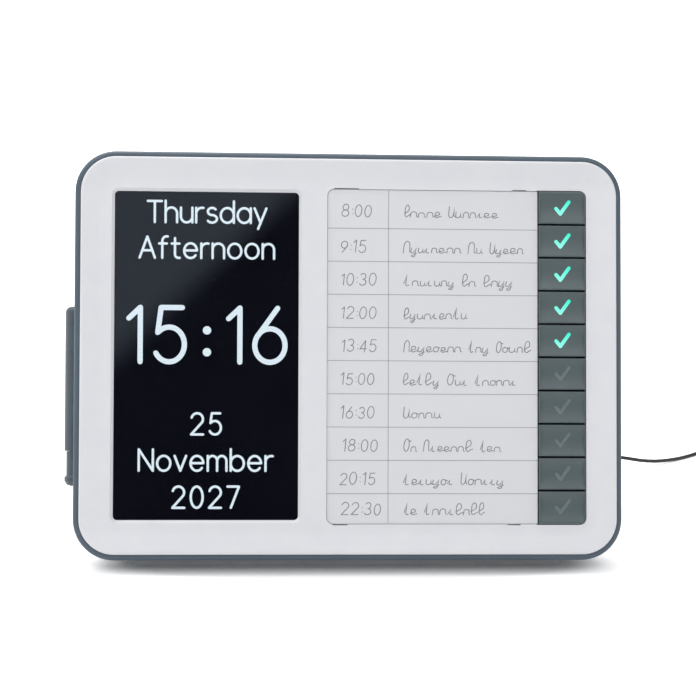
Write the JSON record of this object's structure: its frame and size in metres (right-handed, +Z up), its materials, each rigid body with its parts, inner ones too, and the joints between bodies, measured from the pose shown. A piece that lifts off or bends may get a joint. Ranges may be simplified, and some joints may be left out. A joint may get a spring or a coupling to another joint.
{
  "type": "calendar day clock",
  "caption": "Leaning desk and wall day clock with a calendar display, a wipe-clean task board beside tick keys, a clipped pen, a fold-out leg and a supply lead.",
  "frame": {"origin": "middle of the underside of the front foot strip, on the floor", "axes": "+Z up, +X to the right of someone facing the display, +Y from the display towards the back; the front leans back 16 degrees"},
  "size_m": [0.3984, 0.222, 0.1926],
  "materials": {
    "slate_plastic": "fine moulded texture",
    "setting_key_plastic": "smooth moulded",
    "white_plastic": "satin moulded",
    "cover_glass": "polished",
    "display_face": "polarizer film",
    "foam": "closed-cell foam",
    "sheet_metal": "stamped",
    "board_plastic": "wipe-clean gloss",
    "key_plastic": "satin moulded",
    "lit_lens": "clear light guide, lit",
    "dark_lens": "clear light guide, unlit",
    "black_plastic": "moulded",
    "circuit_board": "solder mask",
    "chip_black": "moulded",
    "led_white": "clear epoxy",
    "flat_cable": "laminated film",
    "speaker_black": "black paint",
    "cell_steel": "polished steel",
    "screw_steel": "zinc plated",
    "plate_steel": "zinc plated",
    "foot_rubber": "moulded",
    "pen_plastic": "satin moulded",
    "felt": "pressed felt",
    "plug_rubber": "moulded",
    "plug_steel": "nickel plated",
    "cord_rubber": "extruded"
  },
  "bodies": {
    "case": {"rear_shell": "slate_plastic", "front_bezel": "white_plastic", "case_screws": "screw_steel", "front_foot": "foot_rubber", "hanger_plates": "plate_steel", "display_glass": "cover_glass", "display_gasket": "foam", "lcd_panel": "display_face", "backlight_tray": "sheet_metal", "display_clips": "sheet_metal", "key_frame": "black_plastic", "key_board": "circuit_board", "key_leds": "led_white", "tact_switches": "black_plastic", "main_board": "circuit_board", "board_chips": "chip_black", "inner_screws": "screw_steel", "display_ribbon": "flat_cable", "key_ribbon": "flat_cable", "speaker": "speaker_black", "coin_cell": "cell_steel", "cell_holder": "black_plastic", "dc_socket": "black_plastic", "power_plug": "plug_rubber", "pen_holder": "slate_plastic", "leg_pin": "screw_steel", "cord": "cord_rubber", "cord_coil": "cord_rubber", "supply_plug": "plug_rubber", "supply_shell": "plug_steel"},
    "task_board": {"task_board": "board_plastic"},
    "stand_leg": {"stand_leg": "slate_plastic", "leg_foot": "foot_rubber"},
    "pen": {"pen_barrel": "pen_plastic", "pen_nib": "felt"},
    "pen_cap": {"pen_cap": "pen_plastic"},
    "tick_key_1": {"tick_key_1": "key_plastic", "tick_lens_1": "lit_lens"},
    "tick_key_2": {"tick_key_2": "key_plastic", "tick_lens_2": "lit_lens"},
    "tick_key_3": {"tick_key_3": "key_plastic", "tick_lens_3": "lit_lens"},
    "tick_key_4": {"tick_key_4": "key_plastic", "tick_lens_4": "lit_lens"},
    "tick_key_5": {"tick_key_5": "key_plastic", "tick_lens_5": "lit_lens"},
    "tick_key_6": {"tick_key_6": "key_plastic", "tick_lens_6": "dark_lens"},
    "tick_key_7": {"tick_key_7": "key_plastic", "tick_lens_7": "dark_lens"},
    "tick_key_8": {"tick_key_8": "key_plastic", "tick_lens_8": "dark_lens"},
    "tick_key_9": {"tick_key_9": "key_plastic", "tick_lens_9": "dark_lens"},
    "tick_key_10": {"tick_key_10": "key_plastic", "tick_lens_10": "dark_lens"},
    "setting_key_1": {"setting_key_1": "setting_key_plastic"},
    "setting_key_2": {"setting_key_2": "setting_key_plastic"},
    "setting_key_3": {"setting_key_3": "setting_key_plastic"}
  },
  "joints": [
    {"name": "tick_key_1_press", "type": "slide", "parent": "case", "child": "tick_key_1", "axis": [0, 0.9613, -0.2756], "range_m": [0, 0.0008], "stiffness_N_per_m": 1000, "springref_m": -0.0005},
    {"name": "tick_key_2_press", "type": "slide", "parent": "case", "child": "tick_key_2", "axis": [0, 0.9613, -0.2756], "range_m": [0, 0.0008], "stiffness_N_per_m": 1000, "springref_m": -0.0005},
    {"name": "tick_key_3_press", "type": "slide", "parent": "case", "child": "tick_key_3", "axis": [0, 0.9613, -0.2756], "range_m": [0, 0.0008], "stiffness_N_per_m": 1000, "springref_m": -0.0005},
    {"name": "tick_key_4_press", "type": "slide", "parent": "case", "child": "tick_key_4", "axis": [0, 0.9613, -0.2756], "range_m": [0, 0.0008], "stiffness_N_per_m": 1000, "springref_m": -0.0005},
    {"name": "tick_key_5_press", "type": "slide", "parent": "case", "child": "tick_key_5", "axis": [0, 0.9613, -0.2756], "range_m": [0, 0.0008], "stiffness_N_per_m": 1000, "springref_m": -0.0005},
    {"name": "tick_key_6_press", "type": "slide", "parent": "case", "child": "tick_key_6", "axis": [0, 0.9613, -0.2756], "range_m": [0, 0.0008], "stiffness_N_per_m": 1000, "springref_m": -0.0005},
    {"name": "tick_key_7_press", "type": "slide", "parent": "case", "child": "tick_key_7", "axis": [0, 0.9613, -0.2756], "range_m": [0, 0.0008], "stiffness_N_per_m": 1000, "springref_m": -0.0005},
    {"name": "tick_key_8_press", "type": "slide", "parent": "case", "child": "tick_key_8", "axis": [0, 0.9613, -0.2756], "range_m": [0, 0.0008], "stiffness_N_per_m": 1000, "springref_m": -0.0005},
    {"name": "tick_key_9_press", "type": "slide", "parent": "case", "child": "tick_key_9", "axis": [0, 0.9613, -0.2756], "range_m": [0, 0.0008], "stiffness_N_per_m": 1000, "springref_m": -0.0005},
    {"name": "tick_key_10_press", "type": "slide", "parent": "case", "child": "tick_key_10", "axis": [0, 0.9613, -0.2756], "range_m": [0, 0.0008], "stiffness_N_per_m": 1000, "springref_m": -0.0005},
    {"name": "setting_key_1_press", "type": "slide", "parent": "case", "child": "setting_key_1", "axis": [0, -0.9613, 0.2756], "range_m": [0, 0.0008], "stiffness_N_per_m": 1000, "springref_m": -0.0005},
    {"name": "setting_key_2_press", "type": "slide", "parent": "case", "child": "setting_key_2", "axis": [0, -0.9613, 0.2756], "range_m": [0, 0.0008], "stiffness_N_per_m": 1000, "springref_m": -0.0005},
    {"name": "setting_key_3_press", "type": "slide", "parent": "case", "child": "setting_key_3", "axis": [0, -0.9613, 0.2756], "range_m": [0, 0.0008], "stiffness_N_per_m": 1000, "springref_m": -0.0005},
    {"name": "board_lift", "type": "slide", "parent": "case", "child": "task_board", "axis": [0, -0.9613, 0.2756], "range_m": [0, 0.03]},
    {"name": "leg_fold", "type": "hinge", "parent": "case", "child": "stand_leg", "pos_m": [0, 0.05587, 0.14496], "axis": [-1, 0, 0], "range_deg": [0, 32.66]},
    {"name": "pen_pull", "type": "slide", "parent": "case", "child": "pen", "axis": [0, 0.2756, 0.9613], "range_m": [0, 0.1]},
    {"name": "pen_cap_pull", "type": "slide", "parent": "pen", "child": "pen_cap", "axis": [0, -0.2756, -0.9613], "range_m": [0, 0.022]}
  ]
}
